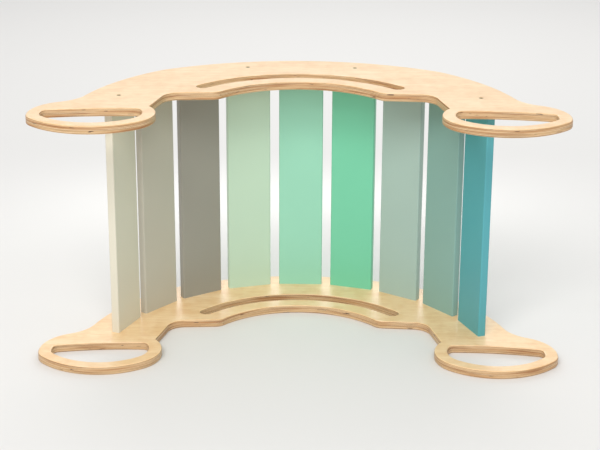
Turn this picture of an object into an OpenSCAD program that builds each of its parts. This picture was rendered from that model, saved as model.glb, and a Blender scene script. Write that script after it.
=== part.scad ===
// Children's rocker arch: nine painted slats between two plywood side panels,
// shown standing on its lower side panel with the open side towards -Y.

/* [Slats] */
// Width of a slat across its flat face
slat_w = 100; // [92:1:103]
// Thickness of a slat
slat_t = 18; // [15:0.5:21]
// Length of a slat between the two side panels
slat_len = 510; // [400:5:600]
// Radius of the circle that touches the inner faces of all slats
slat_r = 406; // [402:1:410]
// Gap between two slats along their inner faces
slat_gap = 20; // [14:1:21]
// Rounding of a slat's long edges
slat_edge_r = 3; // [1:0.5:5]

/* [Side panels] */
// Thickness of the plywood
panel_t = 18; // [15:1:24]
// Rounding of all edges of a side panel
edge_r = 3; // [2:0.5:4]
// Wood outside the slats along the flanks
flank_rim = 58; // [54:1:62]
// Wood outside the slats at the middle of the rocker
rocker_rim = 33.5; // [30:0.5:37]
// Radius of the rocker, the long edge that the arch rolls on
rocker_r = 590; // [570:5:610]
// Radius of the blend between rocker and flank
blend_r = 160; // [120:5:180]

/* [Arch opening] */
// Wood between the slats and the middle of the arch opening
seat_w = 130; // [120:1:140]
// How much smaller the arch opening's radius is than the radius of the slats' circle
arch_inset = 184; // [178:1:191]
// Radius of the round nose where the arch meets the shoulder
nose_r = 30; // [25:1:32]
// Distance inward from the end of the slats' circle to the point that sets the shoulder's height
shoulder_inset = 176; // [172:1:180]
// Distance from the slats' inner faces forward to the shoulder
shoulder_in = 219; // [215:1:222]
// Slope of the shoulder in degrees
shoulder_slope = 3.7; // [2:0.1:6]
// Radius of the hollow between shoulder and leg
hip_r = 40; // [34:1:46]
// Distance inward from the end of the slats' circle to the point that sets the leg's place
leg_inset = 101.5; // [99:0.5:105]
// Distance from the slats' inner faces forward to that point
leg_in = 300; // [296:1:304]
// Slope of the leg's inner edge in degrees
leg_slope = 75.2; // [74:0.1:77]
// Radius of the small hollow between leg and handle
neck_r = 6; // [5:0.5:8]

/* [Handles] */
// Distance from the slats' inner faces forward to the centre of the handle's front round
front_in = 312; // [308:1:316]
// Radius of the handle's front round
front_r = 161; // [158:1:164]
// Radius of the handle's round at the leg
heel_r = 81; // [78:1:84]
// Direction in which front round and leg round run into each other, in degrees
heel_turn = 231.5; // [230:0.5:233]
// Distance outward from the front round's centre to the back round's centre
back_out = 41; // [38:1:44]
// Distance forward from the front round's centre to the back round's centre
back_fore = 70; // [67:1:73]
// Radius of the handle's back round
back_r = 92; // [90:1:95]
// Radius of the handle's tip
toe_r = 46; // [42:1:50]
// Radius of the hollow between handle and flank
flare_r = 84; // [75:1:95]
// Width of the wood that the hand closes round
grip_w = 28; // [25:0.5:31]
// Radius of the hand hole's long back edge
grip_back_r = 800; // [700:10:900]
// Distance inward from the front round's centre to the highest point of that edge
grip_back_inward = 73; // [65:1:80]
// Distance forward from the front round's centre to that point
grip_back_fore = 31; // [28:1:34]
// Rounding of the hand hole's two back corners
grip_corner_r = 14; // [11:0.5:16]

/* [Slot] */
// Wood between the slats and the slot
slot_in = 63; // [60:1:68]
// Width of the slot at its middle
slot_w = 32; // [29:0.5:34]
// Radius of the slot's back edge
slot_back_r = 298; // [294:1:302]
// Radius of the slot's front edge
slot_front_r = 282; // [279:1:285]
// Radius of the slot's two round ends
slot_end_r = 13.5; // [12.5:0.5:14]

/* [Joints] */
// Diameter of a dowel
dowel_d = 8; // [6:0.5:10]
// Length of a dowel
dowel_len = 36; // [30:1:40]
// Depth to which a dowel goes into a side panel
dowel_in_panel = 12; // [8:1:13]
// Distance of a dowel from the middle of its slat
dowel_x = 30; // [20:1:38]
// Diameter of a screw's flat head
head_d = 10; // [9:0.5:12]
// Height of the head's straight rim
head_rim = 1.2; // [0.8:0.1:2]
// Diameter of a screw's smooth neck
neck_d = 7; // [6.5:0.1:8]
// Length of head and neck together
neck_len = 12; // [10:0.5:14]
// Diameter of a screw's thread
thread_d = 5; // [4:0.1:6]
// Length of a screw
screw_len = 50; // [40:1:60]
// Width of the hexagonal drive across its flats
drive_w = 4; // [3:0.5:5]
// Depth of the drive
drive_depth = 2.5; // [2:0.1:4]
// Depth of a screw's head below the face of the panel
head_sink = 0.4; // [0.2:0.1:1]

/* [Hidden] */
$fn = 180;
bit_fn = 48;
slat_count = 9;
middle_slat = (slat_count + 1) / 2;
screwed_slats = [1, 4, 6, 9];

birch = "burlywood";
beech = "wheat";
steel = "silver";
paints = [
    "#bebba2", "#aca992", "#929182", "#c1dabb", "#a0ddbb",
    "#7ed4a8", "#a8c0b2", "#87aa9b", "#5ca0a0"
];

// Clearance round a dowel or a screw in its hole
fit = 0.1;
// Free depth beyond the end of a dowel
glue_room = 0.3;
// How far a cut runs past the face that it starts from
over = 1;
// How far a round piece laps over the edge that it is tangent to
lap = 0.15;
// The rounding cutter's circle is this much larger than the edge it leaves, so that it crosses both faces
bit_slack = 1.02;

pitch = 2 * atan((slat_w + slat_gap) / 2 / slat_r);
slat_back_r = slat_r + slat_t;
total_h = panel_t + slat_len + panel_t;

// Plan of a side panel, seen from above: the origin is the centre of the slats' circle, +Y the middle
// of the rocker. Every round is [centre, radius]; the left half mirrors the right half.
function polar(a) = [cos(a), sin(a)];
function unit(v) = v / norm(v);
function left(v) = [-v[1], v[0]];
function angle(v) = atan2(v[1], v[0]);
function tangent(round, other) = round[0] + round[1] * unit(other[0] - round[0]);
function away(centre, point, distance) = point + distance * unit(point - centre);
function inset(round, distance) = [round[0], round[1] - distance];
// Point at ra from a and rb from b, on the left (1) or right (-1) of the way from a to b
function meet(a, ra, b, rb, side) =
    let (d = norm(b - a))
    let (along = (ra * ra - rb * rb + d * d) / (2 * d))
    a + along * unit(b - a) + side * sqrt(ra * ra - along * along) * left(unit(b - a));
// Point at offset on the left of a line and at r from c, the first (-1) or last (1) along the line
function meet_line(point, dir, offset, c, r, side) =
    let (base = point + offset * left(dir))
    let (foot = base + ((c - base) * dir) * dir)
    foot + side * sqrt(r * r - (c - foot) * (c - foot)) * dir;
function cross_lines(p, p_dir, q, q_dir) = p + p_dir * ((q - p) * left(q_dir)) / (p_dir * left(q_dir));

flank = [[0, 0], slat_back_r + flank_rim];
rocker_top = slat_back_r + rocker_rim;
rocker = [[0, rocker_top - rocker_r], rocker_r];
blend = [meet(flank[0], flank[1] - blend_r, rocker[0], rocker_r - blend_r, 1), blend_r];
arch_top = slat_r - seat_w;
arch_r = slat_r - arch_inset;
arch = [[0, arch_top - arch_r], arch_r];
shoulder = [slat_r - shoulder_inset, slat_r - shoulder_in];
shoulder_dir = polar(-shoulder_slope);
nose = [meet_line(shoulder, shoulder_dir, nose_r, arch[0], arch_r + nose_r, 1), nose_r];
leg = [slat_r - leg_inset, slat_r - leg_in];
leg_dir = polar(-leg_slope);
hip = [cross_lines(
    shoulder - hip_r * left(shoulder_dir), shoulder_dir,
    leg - hip_r * left(leg_dir), leg_dir
), hip_r];
front = [[slat_back_r, slat_r - front_in], front_r];
heel = [front[0] + (front_r - heel_r) * polar(heel_turn), heel_r];
neck = [meet_line(leg, leg_dir, -neck_r, heel[0], heel_r + neck_r, -1), neck_r];
back = [front[0] + [back_out, -back_fore], back_r];
toe = [meet(front[0], front_r - toe_r, back[0], back_r - toe_r, 1), toe_r];
flare = [meet(back[0], back_r + flare_r, flank[0], flank[1] + flare_r, -1), flare_r];
plan_middle = (rocker_top + front[0][1] - front_r) / 2;

// The hand hole keeps the grip's width inside the handle's outline
hole_front = inset(front, grip_w);
hole_heel = inset(heel, grip_w);
hole_toe = inset(toe, grip_w);
hole_end = inset(back, grip_w);
grip_back = [front[0] - [grip_back_inward, grip_back_fore + grip_back_r], grip_back_r];
corner_reach = grip_back_r - grip_corner_r;
heel_corner = [
    meet(grip_back[0], corner_reach, hole_heel[0], hole_heel[1] - grip_corner_r, 1),
    grip_corner_r
];
end_corner = [
    meet(grip_back[0], corner_reach, hole_end[0], hole_end[1] - grip_corner_r, -1),
    grip_corner_r
];

slot_top = slat_r - slot_in;
slot_back = [[0, slot_top - slot_back_r], slot_back_r];
slot_front = [[0, slot_top - slot_w - slot_front_r], slot_front_r];
slot_end = [
    meet(slot_back[0], slot_back_r - slot_end_r, slot_front[0], slot_front_r + slot_end_r, -1),
    slot_end_r
];

function grown(round) = [round[0], round[1] + lap];

// Both faces of the plywood: the children at z = 0 and mirrored to z = panel_t
module both_faces() {
    children();
    translate([0, panel_t])
    mirror([0, 1])
    children();
}

// Waste outside a rounded edge of wood that lies on one side, -1 or 1, of x = 0
module edge_waste(side) {
    difference() {
        translate([side < 0 ? -edge_r : -over, -over])
        square(edge_r + over);
        translate([side * edge_r, edge_r])
        circle(r = edge_r * bit_slack, $fn = bit_fn);
    }
}

// A section of plywood, w wide, with its rounded edge at x = 0
module wood_section(w) {
    difference() {
        translate([-w, 0])
        square([w, panel_t]);
        both_faces() edge_waste(-1);
    }
}

// A section of a cut, w wide, that leaves rounded edges in the wood at x > 0
module cut_section(w) {
    translate([-w, -over])
    square([w, panel_t + 2 * over]);
    both_faces() edge_waste(1);
}

// A round of wood with rounded edges
module disc(round) {
    translate(round[0])
    rotate_extrude()
    translate([round[1], 0])
    wood_section(round[1]);
}

// A round cut that leaves rounded edges
module pit(round) {
    translate(round[0])
    rotate_extrude()
    translate([round[1], 0])
    cut_section(round[1]);
}

// A straight cut on the right of a line, w wide, that leaves a rounded edge along the line
module trench(start, dir, length, w) {
    translate(start)
    rotate(angle(dir))
    rotate([90, 0, 90])
    linear_extrude(length)
    cut_section(w);
}

// A plain block of wood
module web(points) {
    linear_extrude(panel_t)
    polygon(points);
}

// A plain block that goes right through the plywood
module through(points) {
    translate([0, 0, -over])
    linear_extrude(panel_t + 2 * over)
    polygon(points);
}

// A block between two directions from a round's centre
module sector(round, from, to) {
    reach = 2 * round[1];
    through([
        round[0],
        round[0] + reach * polar(from),
        round[0] + reach * polar((from + to) / 2),
        round[0] + reach * polar(to)
    ]);
}

// The block on the outer side of a rounded corner, from one tangent point by the sharp tip to the other
module corner_block(round, from, tip, to, beyond) {
    through([
        round[0],
        away(round[0], from, beyond),
        away(round[0], tip, 3 * beyond),
        away(round[0], to, beyond)
    ]);
}

module both_sides() {
    children();
    mirror([1, 0, 0])
    children();
}

// The arch and its legs, down to a straight seam inside the handles
module arch_blank() {
    seam_y = neck[0][1] - 2 * neck_r;
    blend_tip = meet(flank[0], flank[1], rocker[0], rocker_r, 1);
    nose_tip = meet_line(shoulder, shoulder_dir, 0, arch[0], arch_r, 1);
    nose_foot = nose[0] - nose_r * left(shoulder_dir);
    shoulder_end = hip[0] + hip_r * left(shoulder_dir);
    leg_start = hip[0] + hip_r * left(leg_dir);
    trench_w = 1.5 * hip_r;
    trench_len = shoulder[1] - heel[0][1];
    // The opening is first cut out roughly, clear of its rounded edges
    rough_right = [
        [hip[0][0], seam_y - over],
        hip[0],
        [arch_r / 2, hip[0][1] + hip_r / 2],
        [arch_r / 3, arch_top - nose_r]
    ];
    rough_left = [for (i = [len(rough_right) - 1:-1:0]) [-rough_right[i][0], rough_right[i][1]]];
    difference() {
        difference() {
            intersection() {
                disc(flank);
                disc(rocker);
                translate([-flank[1] - over, seam_y, -over])
                cube([2 * (flank[1] + over), flank[1], panel_t + 2 * over]);
            }
            through(concat(rough_right, rough_left));
        }
        pit(arch);
        both_sides() {
            difference() {
                corner_block(blend, tangent(flank, blend), blend_tip, tangent(rocker, blend), over);
                disc(grown(blend));
            }
            difference() {
                corner_block(nose, tangent(nose, arch), nose_tip, nose_foot, over);
                disc(grown(nose));
            }
            trench(
                nose_tip - nose_r * shoulder_dir, shoulder_dir,
                norm(shoulder_end - nose_tip) + nose_r, trench_w
            );
            trench(leg_start, leg_dir, trench_len, trench_w);
            pit(grown(hip));
        }
    }
}

// The right handle without its hand hole
module handle_blank() {
    toe_from_front = angle(toe[0] - front[0]) + 360;
    toe_from_back = angle(toe[0] - back[0]);
    flare_from_back = angle(flare[0] - back[0]);
    neck_foot = neck[0] + neck_r * left(leg_dir);
    difference() {
        union() {
            intersection() {
                disc(front);
                sector(front, heel_turn, toe_from_front);
            }
            intersection() {
                disc(back);
                sector(back, toe_from_back, 90);
            }
            disc(grown(heel));
            disc(grown(toe));
            web([
                heel[0],
                [heel[0][0], front[0][1]],
                front[0],
                back[0] + (back_r - 2 * edge_r) * polar(flare_from_back),
                toe[0]
            ]);
            web([back[0], flare[0], slat_r * unit(flare[0])]);
            web([
                neck[0],
                neck_foot + 2 * edge_r * left(leg_dir),
                tangent(heel, neck) + 2 * edge_r * unit(heel[0] - neck[0])
            ]);
        }
        pit(grown(flare));
        pit(grown(neck));
    }
}

// The hand hole of the right handle
module hand_hole() {
    heel_tip = meet(grip_back[0], grip_back_r, hole_heel[0], hole_heel[1], 1);
    end_tip = meet(grip_back[0], grip_back_r, hole_end[0], hole_end[1], -1);
    toe_from_front = angle(toe[0] - front[0]) + 360;
    toe_from_back = angle(toe[0] - back[0]);
    flare_from_back = angle(flare[0] - back[0]);
    difference() {
        intersection() {
            union() {
                intersection() {
                    pit(hole_front);
                    sector(front, heel_turn, toe_from_front);
                }
                intersection() {
                    pit(hole_end);
                    sector(back, toe_from_back, 90);
                }
                pit(grown(hole_heel));
                pit(grown(hole_toe));
                through([heel[0], front[0], back[0] + (hole_end[1] - edge_r) * polar(flare_from_back), toe[0]]);
            }
            pit(grip_back);
        }
        difference() {
            corner_block(
                heel_corner, tangent(hole_heel, heel_corner), heel_tip,
                tangent(grip_back, heel_corner), edge_r + over
            );
            pit(grown(heel_corner));
        }
        difference() {
            corner_block(
                end_corner, tangent(hole_end, end_corner), end_tip,
                tangent(grip_back, end_corner), edge_r + over
            );
            pit(grown(end_corner));
        }
    }
}

// The curved slot between arch and slats
module slot() {
    back_joint = tangent(slot_back, slot_end);
    front_joint = slot_front[0] + slot_front_r * unit(slot_end[0] - slot_front[0]);
    across = slot_w * unit(back_joint - front_joint);
    outside = back_joint + across;
    inside = front_joint - across;
    intersection() {
        difference() {
            pit(slot_back);
            disc(slot_front);
        }
        through([
            outside,
            [0, slat_r],
            [-outside[0], outside[1]],
            [-inside[0], inside[1]],
            [0, arch_top],
            inside
        ]);
    }
    both_sides() pit(grown(slot_end));
}

// Puts children that stand at the middle of a slat's inner face at slat i
module at_slat(i) {
    rotate((middle_slat - i) * pitch)
    translate([0, slat_r, 0])
    children();
}

// The two dowels at one end of a slat, from a side panel's outer face at z = 0
module dowel_pair(grow, room) {
    start = panel_t - dowel_in_panel - room;
    for (side = [-1, 1])
    translate([side * dowel_x, slat_t / 2, start])
    cylinder(d = dowel_d + 2 * grow, h = dowel_len + 2 * room);
}

// A screw without its drive, head towards a side panel's outer face at z = 0
module screw_body(grow, above) {
    head_end = head_sink + head_rim;
    thread_start = head_sink + neck_len;
    tip_start = head_sink + screw_len - thread_d / 2;
    translate([0, slat_t / 2, 0])
    rotate_extrude()
    polygon([
        [0, head_sink - above],
        [head_d / 2 + grow, head_sink - above],
        [head_d / 2 + grow, head_end],
        [neck_d / 2 + grow, head_end + (head_d - neck_d) / 2],
        [neck_d / 2 + grow, thread_start],
        [thread_d / 2 + grow, thread_start],
        [thread_d / 2 + grow, tip_start],
        [0, tip_start + thread_d / 2 + grow]
    ]);
}

module screw() {
    difference() {
        screw_body(0, 0);
        translate([0, slat_t / 2, head_sink - over])
        cylinder(d = drive_w / cos(30), h = drive_depth + over, $fn = 6);
    }
}

// Holes for all that joins slat i to a side panel
module joint_holes(i) {
    dowel_pair(fit, glue_room);
    if (len(search(i, screwed_slats)) > 0)
    screw_body(fit, head_sink + over);
}

module from_above() {
    translate([0, 0, total_h])
    mirror([0, 0, 1])
    children();
}

module both_ends() {
    children();
    from_above() children();
}

module centred() {
    translate([0, -plan_middle, 0])
    children();
}

// A handle with its hand hole
module handle() {
    difference() {
        handle_blank();
        hand_hole();
    }
}

// The arch with its slot
module arch() {
    difference() {
        arch_blank();
        slot();
    }
}

module side_panel() {
    color(birch)
    difference() {
        union() {
            arch();
            both_sides() handle();
        }
        for (i = [1:slat_count]) at_slat(i) joint_holes(i);
    }
}

module lower_side_panel() {
    centred() side_panel();
}

module upper_side_panel() {
    centred() from_above() side_panel();
}

module slat_section() {
    translate([slat_edge_r - slat_w / 2, 0])
    square([slat_w - 2 * slat_edge_r, slat_t]);
    translate([-slat_w / 2, slat_edge_r])
    square([slat_w, slat_t - 2 * slat_edge_r]);
    for (x = [-1, 1], y = [slat_edge_r, slat_t - slat_edge_r])
    translate([x * (slat_w / 2 - slat_edge_r), y])
    circle(slat_edge_r, $fn = bit_fn);
}

module slat(i) {
    centred()
    at_slat(i)
    color(paints[i - 1])
    difference() {
        translate([0, 0, panel_t])
        linear_extrude(slat_len)
        slat_section();
        both_ends() joint_holes(i);
    }
}

module slat_dowels(i) {
    centred()
    at_slat(i)
    color(beech)
    both_ends() dowel_pair(0, 0);
}

module lower_screws() {
    centred()
    color(steel)
    for (i = screwed_slats) at_slat(i) screw();
}

module upper_screws() {
    centred()
    color(steel)
    from_above()
    for (i = screwed_slats) at_slat(i) screw();
}

lower_side_panel();
upper_side_panel();
for (i = [1:slat_count]) {
    slat(i);
    slat_dowels(i);
}
lower_screws();
upper_screws();
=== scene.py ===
import math

import bmesh
import bpy
from mathutils import Euler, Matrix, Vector


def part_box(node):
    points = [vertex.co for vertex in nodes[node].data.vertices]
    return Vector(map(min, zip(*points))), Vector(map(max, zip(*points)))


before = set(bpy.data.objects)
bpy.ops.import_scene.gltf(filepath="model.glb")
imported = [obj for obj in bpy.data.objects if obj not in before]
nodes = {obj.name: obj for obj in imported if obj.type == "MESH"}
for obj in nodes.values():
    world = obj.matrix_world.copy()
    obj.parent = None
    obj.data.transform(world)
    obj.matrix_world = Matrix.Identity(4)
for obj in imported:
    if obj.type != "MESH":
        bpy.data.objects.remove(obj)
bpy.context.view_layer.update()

# ---------------------------------------------------------------------------
# Camera and studio.
# The photograph looks a little down into the arch's open side, on a seamless
# pale floor. One broad soft light hangs high in front, two smaller ones stand
# behind and pale walls give the rest.
# ---------------------------------------------------------------------------
# Fitted to the outlines in the photograph, in metres and radians
FRAME_WIDTH_PX = 600
FOCAL_PX = 1695.5
CAMERA_PLACE = (0.0456, -3.4889, 1.5318)
LOOK_DOWN = math.radians(20.26)
LOOK_LEFT = 0.0127
CAMERA_ROLL = 0.0047

camera_data = bpy.data.cameras.new("camera")
camera_data.lens = FOCAL_PX / FRAME_WIDTH_PX * camera_data.sensor_width
camera = bpy.data.objects.new("camera", camera_data)
camera.location = CAMERA_PLACE
turn = Euler((math.pi / 2 - LOOK_DOWN, 0, LOOK_LEFT)).to_matrix()
camera.rotation_euler = (turn @ Euler((0, 0, CAMERA_ROLL)).to_matrix()).to_euler()
bpy.context.scene.collection.objects.link(camera)
bpy.context.scene.camera = camera


def linear(hex_colour):
    """An sRGB hex colour as linear red, green, blue and alpha."""
    channels = [int(hex_colour[i:i + 2], 16) / 255 for i in (1, 3, 5)]
    return tuple(
        c / 12.92 if c <= 0.04045 else ((c + 0.055) / 1.055) ** 2.4 for c in channels
    ) + (1.0,)


def new_material(name):
    """A new node material, its node tree and its Principled shader."""
    material = bpy.data.materials.new(name)
    material.use_nodes = True
    shader = material.node_tree.nodes["Principled BSDF"]
    return material, material.node_tree, shader


FLOOR_SIZE = 14.0
bm = bmesh.new()
bmesh.ops.create_grid(bm, x_segments=1, y_segments=1, size=FLOOR_SIZE / 2)
floor_mesh = bpy.data.meshes.new("studio_floor")
bm.to_mesh(floor_mesh)
bm.free()
floor = bpy.data.objects.new("studio_floor", floor_mesh)
bpy.context.scene.collection.objects.link(floor)
# Uncoated paper off a roll: an even warm white without gloss
sweep_paper, _, shader = new_material("matt_sweep_paper")
shader.inputs["Base Color"].default_value = linear("#dcdbd7")
shader.inputs["Roughness"].default_value = 0.75
floor_mesh.materials.append(sweep_paper)


def soft_box(name, place, aim, size, watts):
    """A large soft light at a place, aimed at a point, with its width and height."""
    data = bpy.data.lights.new(name, "AREA")
    data.shape = "RECTANGLE"
    data.size, data.size_y = size
    data.energy = watts
    light = bpy.data.objects.new(name, data)
    light.location = place
    light.visible_camera = False
    light.rotation_euler = (Vector(aim) - Vector(place)).to_track_quat("-Z", "Y").to_euler()
    bpy.context.scene.collection.objects.link(light)


ARCH_MIDDLE = (0, 0, 0.3)
FLOOR_BEHIND = (0.2, 1.8, 0)
ROCKER_FOOT = (0, 0.3, 0)
soft_box("front_softbox", place=(-0.8, -4.8, 4.8), aim=ARCH_MIDDLE, size=(5.0, 2.8), watts=342)
soft_box("rear_softbox", place=(0.2, 2.8, 2.4), aim=FLOOR_BEHIND, size=(3.0, 1.2), watts=29)
soft_box("low_rear_softbox", place=(0, 0.9, 0.48), aim=ROCKER_FOOT, size=(1.0, 0.3), watts=2.2)

world = bpy.data.worlds.new("pale_walls")
world.use_nodes = True
walls = world.node_tree.nodes["Background"]
walls.inputs["Color"].default_value = linear("#fbfbff")
walls.inputs["Strength"].default_value = 0.67
bpy.context.scene.world = world
bpy.context.scene.view_settings.view_transform = "Standard"

# ---------------------------------------------------------------------------
# Side panels.
# Two identical boards of 18 mm birch plywood, routed to shape with rounded
# edges and finished with a clear satin lacquer, which lets the pale rotary-cut
# face veneer and the thin dark and light layers of the edge show.
# ---------------------------------------------------------------------------
BOARD = 0.018
PLIES = 13
LAYER = BOARD / PLIES
FACE_VENEER = 0.0011
# Glue lines are 0.1 mm thick in truth and drawn 0.5 mm thick so that they show
GLUE_LINE = 0.0005
UPPER_BOARD_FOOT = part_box("upper_side_panel")[0].z


def add_node(tree, kind, inputs, output=0, stops=(), **settings):
    """Adds a shader node and gives one of its outputs. Inputs are values or the outputs that feed them."""
    node = tree.nodes.new("ShaderNode" + kind)
    for name, value in settings.items():
        setattr(node, name, value)
    for socket, value in inputs.items():
        if isinstance(value, bpy.types.NodeSocket):
            tree.links.new(value, node.inputs[socket])
        else:
            node.inputs[socket].default_value = value
    for i, (position, hex_colour) in enumerate(stops):
        element = node.color_ramp.elements[i] if i < 2 else node.color_ramp.elements.new(position)
        element.position = position
        element.color = linear(hex_colour)
    return node.outputs[output]


def scale_of(*sizes):
    """The scale of a pattern whose marks have this size in millimetres, or these along X, Y and Z."""
    scales = [1000 / size for size in sizes]
    return scales if len(scales) > 1 else scales[0]


def finish_solid(name, material):
    """Gives a solid its one material."""
    slots = nodes[name].data.materials
    slots.clear()
    slots.append(material)


def birch_plywood():
    """Birch plywood: an even cream face veneer, and 13 crossed layers that show at the edge."""
    material, tree, shader = new_material("lacquered_birch_plywood")
    place = add_node(tree, "TexCoord", {}, "Object")
    z = add_node(tree, "SeparateXYZ", {"Vector": place}, "Z")

    # Height of a point above the foot of its own board
    is_upper = add_node(tree, "Math", {0: z, 1: UPPER_BOARD_FOOT / 2}, operation="GREATER_THAN")
    foot = add_node(tree, "Math", {0: is_upper, 1: UPPER_BOARD_FOOT}, operation="MULTIPLY")
    height = add_node(tree, "Math", {0: z, 1: foot}, operation="SUBTRACT")

    # Face veneer: a broad figure, warm and pale by turns
    figure_place = add_node(tree, "Mapping", {"Vector": place, "Scale": scale_of(330, 45, 400)})
    figure = add_node(
        tree, "TexNoise", {"Vector": figure_place, "Scale": 1.0, "Detail": 4.0, "Distortion": 1.4}
    )
    face = add_node(
        tree, "ValToRGB", {"Fac": figure},
        stops=((0.3, "#eecc9b"), (0.5, "#f1d2a3"), (0.7, "#f5d8ad")),
    )
    # Growth rings cut flat: long narrow streaks
    streak_place = add_node(tree, "Mapping", {"Vector": place, "Scale": scale_of(130, 6, 100)})
    streaks = add_node(tree, "TexNoise", {"Vector": streak_place, "Scale": 1.0, "Detail": 3.0})
    streak = add_node(tree, "ValToRGB", {"Fac": streaks}, stops=((0.3, "#f9f4ec"), (0.6, "#ffffff")))
    # Soft blotches where the lacquer sank in
    blotches = add_node(tree, "TexNoise", {"Vector": place, "Scale": scale_of(28), "Detail": 3.0})
    blotch = add_node(tree, "ValToRGB", {"Fac": blotches}, stops=((0.35, "#f8f1e7"), (0.6, "#ffffff")))
    # Pores are 0.1 mm wide and 4 mm long, drawn 1.2 mm wide and 25 mm long so that they show
    pore_place = add_node(tree, "Mapping", {"Vector": place, "Scale": scale_of(25, 1.2, 1.2)})
    pores = add_node(tree, "TexNoise", {"Vector": pore_place, "Scale": 1.0})
    pore = add_node(tree, "ValToRGB", {"Fac": pores}, stops=((0.3, "#f3eadb"), (0.5, "#ffffff")))
    for shade in (streak, blotch, pore):
        face = add_node(
            tree, "Mix", {"Factor": 1.0, "A": face, "B": shade}, "Result",
            data_type="RGBA", blend_type="MULTIPLY",
        )

    # Edge: crossed layers, every other one end grain and darker, with bundles of fibres that are
    # drawn 1.1 mm high so that they show
    layer = add_node(tree, "Math", {0: height, 1: LAYER}, operation="DIVIDE")
    number = add_node(tree, "Math", {0: layer}, operation="FLOOR")
    is_end_grain = add_node(tree, "Math", {0: number, 1: 2.0}, operation="MODULO")
    fibre_place = add_node(tree, "Mapping", {"Vector": place, "Scale": scale_of(14, 14, 1.1)})
    fibres = add_node(tree, "TexNoise", {"Vector": fibre_place, "Scale": 1.0, "Detail": 4.0})
    long_grain = add_node(tree, "ValToRGB", {"Fac": fibres}, stops=((0.3, "#dfc297"), (0.7, "#ebd0aa")))
    end_grain = add_node(tree, "ValToRGB", {"Fac": fibres}, stops=((0.3, "#bc976a"), (0.7, "#d0af84")))
    edge = add_node(
        tree, "Mix", {"Factor": is_end_grain, "A": long_grain, "B": end_grain}, "Result",
        data_type="RGBA",
    )
    # Each layer has a tone of its own
    tone = add_node(tree, "TexWhiteNoise", {"W": number}, "Value", noise_dimensions="1D")
    layer_tone = add_node(tree, "ValToRGB", {"Fac": tone}, stops=((0.0, "#e6d9c6"), (1.0, "#ffffff")))
    # Heartwood stains some layers, in long bands
    stain_place = add_node(tree, "Mapping", {"Vector": place, "Scale": scale_of(140, 140, 3)})
    stains = add_node(tree, "TexNoise", {"Vector": stain_place, "Scale": 1.0, "Detail": 2.0})
    stain = add_node(tree, "ValToRGB", {"Fac": stains}, stops=((0.47, "#ffffff"), (0.62, "#cda173")))
    for shade in (layer_tone, stain):
        edge = add_node(
            tree, "Mix", {"Factor": 1.0, "A": edge, "B": shade}, "Result",
            data_type="RGBA", blend_type="MULTIPLY",
        )

    # A glue line along the foot of each layer, darker where glue pooled
    within_layer = add_node(tree, "Math", {0: layer}, operation="FRACT")
    is_glue = add_node(tree, "Math", {0: within_layer, 1: GLUE_LINE / LAYER}, operation="LESS_THAN")
    pool_place = add_node(tree, "Mapping", {"Vector": place, "Scale": scale_of(100, 100, 3.3)})
    pools = add_node(tree, "TexNoise", {"Vector": pool_place, "Scale": 1.0})
    glue = add_node(tree, "ValToRGB", {"Fac": pools}, stops=((0.45, "#c7a273"), (0.62, "#7c5632")))

    # A few dark knots and filled gaps, 10 to 25 mm long and up to two layers high
    knot_place = add_node(tree, "Mapping", {"Vector": place, "Scale": scale_of(30, 30, 3)})
    knots = add_node(tree, "TexNoise", {"Vector": knot_place, "Scale": 1.0, "Detail": 1.0})
    is_knot = add_node(tree, "MapRange", {"Value": knots, "From Min": 0.725, "From Max": 0.74})
    knot = linear("#4a3019")

    # The face veneer is sanded thinner than the rest and ends in a glue line on the rounded edge
    from_middle = add_node(tree, "Math", {0: height, 1: BOARD / 2}, operation="SUBTRACT")
    distance = add_node(tree, "Math", {0: from_middle}, operation="ABSOLUTE")
    is_face = add_node(
        tree, "Math", {0: distance, 1: BOARD / 2 - FACE_VENEER}, operation="GREATER_THAN"
    )
    colour = edge
    for share, cover in ((is_glue, glue), (is_knot, knot), (is_face, face)):
        colour = add_node(
            tree, "Mix", {"Factor": share, "A": colour, "B": cover}, "Result", data_type="RGBA"
        )
    tree.links.new(colour, shader.inputs["Base Color"])

    # Wood soaked with lacquer: duller on the thirsty edge, clouded like the figure, pores just felt
    dullness = add_node(tree, "MapRange", {"Value": is_face, "To Min": 0.5, "To Max": 0.3})
    cloudy = add_node(tree, "Math", {0: figure, 1: 0.12}, operation="MULTIPLY")
    roughness = add_node(tree, "Math", {0: dullness, 1: cloudy}, operation="ADD")
    tree.links.new(roughness, shader.inputs["Roughness"])
    relief = add_node(tree, "Bump", {"Height": pores, "Strength": 0.15, "Distance": 0.0002})
    tree.links.new(relief, shader.inputs["Normal"])
    # The film of satin lacquer on top, which pales the wood where it is seen at a low angle
    shader.inputs["Coat Weight"].default_value = 0.4
    shader.inputs["Coat Roughness"].default_value = 0.3
    return material


plywood = birch_plywood()
for panel in ("lower_side_panel", "upper_side_panel"):
    finish_solid(panel, plywood)

# ---------------------------------------------------------------------------
# Slats.
# Nine flat boards, planed and sanded smooth with softly rounded long edges and
# sprayed in satin paint, from warm greys over greens to teal.
# ---------------------------------------------------------------------------
SLAT_PAINTS = {
    "slat_1": ("warm_grey", "#d7d2bf"),
    "slat_2": ("sand_grey", "#bab6a6"),
    "slat_3": ("stone_grey", "#949286"),
    "slat_4": ("pale_green", "#bad4bb"),
    "slat_5": ("mint", "#93cfb3"),
    "slat_6": ("emerald", "#71c6a0"),
    "slat_7": ("grey_green", "#a0b8ad"),
    "slat_8": ("teal_grey", "#83a89e"),
    "slat_9": ("teal", "#51a1a8"),
}


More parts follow.
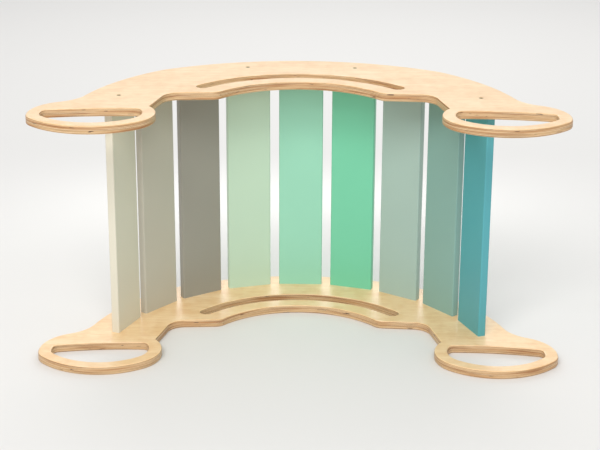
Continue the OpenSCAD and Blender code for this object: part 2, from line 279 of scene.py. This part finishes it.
def satin_paint(name, hex_colour):
    """Satin paint sprayed on wood: one soft even colour, with the grain just felt through it."""
    material, tree, shader = new_material("satin_paint_" + name)
    place = add_node(tree, "TexCoord", {}, "Object")
    # The coat lies a little thicker here and thinner there, over about a slat's width
    coat = add_node(tree, "TexNoise", {"Vector": place, "Scale": scale_of(110), "Detail": 2.0})
    coat_tone = add_node(tree, "MapRange", {"Value": coat, "To Min": 0.97, "To Max": 1.03})
    colour = add_node(tree, "HueSaturation", {"Color": linear(hex_colour), "Value": coat_tone})
    tree.links.new(colour, shader.inputs["Base Color"])
    # Raised grain runs along the slat in fine ridges
    grain_place = add_node(tree, "Mapping", {"Vector": place, "Scale": scale_of(1.4, 1.4, 110)})
    grain = add_node(tree, "TexNoise", {"Vector": grain_place, "Scale": 1.0, "Detail": 2.0})
    # Spray leaves a fine orange peel, a third as high as the grain. Its cells are 0.5 mm across in
    # truth and drawn 2.5 mm across so that they show
    peel = add_node(tree, "TexNoise", {"Vector": place, "Scale": scale_of(2.5), "Detail": 1.0})
    surface = add_node(tree, "Math", {0: peel, 1: 0.35, 2: grain}, operation="MULTIPLY_ADD")
    relief = add_node(tree, "Bump", {"Height": surface, "Strength": 0.08, "Distance": 0.0002})
    tree.links.new(relief, shader.inputs["Normal"])
    dullness = add_node(tree, "MapRange", {"Value": coat, "To Min": 0.33, "To Max": 0.43})
    tree.links.new(dullness, shader.inputs["Roughness"])
    return material


for slat, (paint, hex_colour) in SLAT_PAINTS.items():
    finish_solid(slat, satin_paint(paint, hex_colour))

# ---------------------------------------------------------------------------
# Screws.
# Connector screws with yellow-passivated zinc plating, turned into the slats'
# ends with their flat heads just below the panels' faces.
# ---------------------------------------------------------------------------
def zinc_plated_steel():
    """Yellow-passivated zinc on steel: a dull straw-coloured metal, clouded, with fine plating marks."""
    material, tree, shader = new_material("zinc_plated_steel")
    place = add_node(tree, "TexCoord", {}, "Object")
    # Clouds in the passivation
    clouds = add_node(tree, "TexNoise", {"Vector": place, "Scale": scale_of(3), "Detail": 3.0})
    plating = add_node(tree, "ValToRGB", {"Fac": clouds}, stops=((0.35, "#75684a"), (0.65, "#a39367")))
    tree.links.new(plating, shader.inputs["Base Color"])
    dullness = add_node(tree, "MapRange", {"Value": clouds, "To Min": 0.32, "To Max": 0.48})
    tree.links.new(dullness, shader.inputs["Roughness"])
    # Small dents from the plating drum, where the screws tumble over each other
    dents = add_node(tree, "TexNoise", {"Vector": place, "Scale": scale_of(0.55)})
    relief = add_node(tree, "Bump", {"Height": dents, "Strength": 0.2, "Distance": 0.0001})
    tree.links.new(relief, shader.inputs["Normal"])
    shader.inputs["Metallic"].default_value = 1.0
    return material


zinc = zinc_plated_steel()
for screws in ("lower_screws", "upper_screws"):
    finish_solid(screws, zinc)

# ---------------------------------------------------------------------------
# Dowels.
# Turned beech dowels, two at each end of a slat, glued in and hidden inside
# the joints.
# ---------------------------------------------------------------------------
def turned_beech():
    """Bare beech: warm tan with short darker flecks along the dowel."""
    material, tree, shader = new_material("turned_beech")
    place = add_node(tree, "TexCoord", {}, "Object")
    # Rays cut across show as short flecks
    fleck_place = add_node(tree, "Mapping", {"Vector": place, "Scale": scale_of(0.8, 0.8, 5)})
    flecks = add_node(tree, "TexNoise", {"Vector": fleck_place, "Scale": 1.0, "Detail": 2.0})
    wood = add_node(tree, "ValToRGB", {"Fac": flecks}, stops=((0.35, "#c79c6c"), (0.5, "#d9b98a")))
    tree.links.new(wood, shader.inputs["Base Color"])
    relief = add_node(tree, "Bump", {"Height": flecks, "Strength": 0.2, "Distance": 0.0001})
    tree.links.new(relief, shader.inputs["Normal"])
    shader.inputs["Roughness"].default_value = 0.6
    return material


beech = turned_beech()
for slat in SLAT_PAINTS:
    finish_solid(slat + "_dowels", beech)
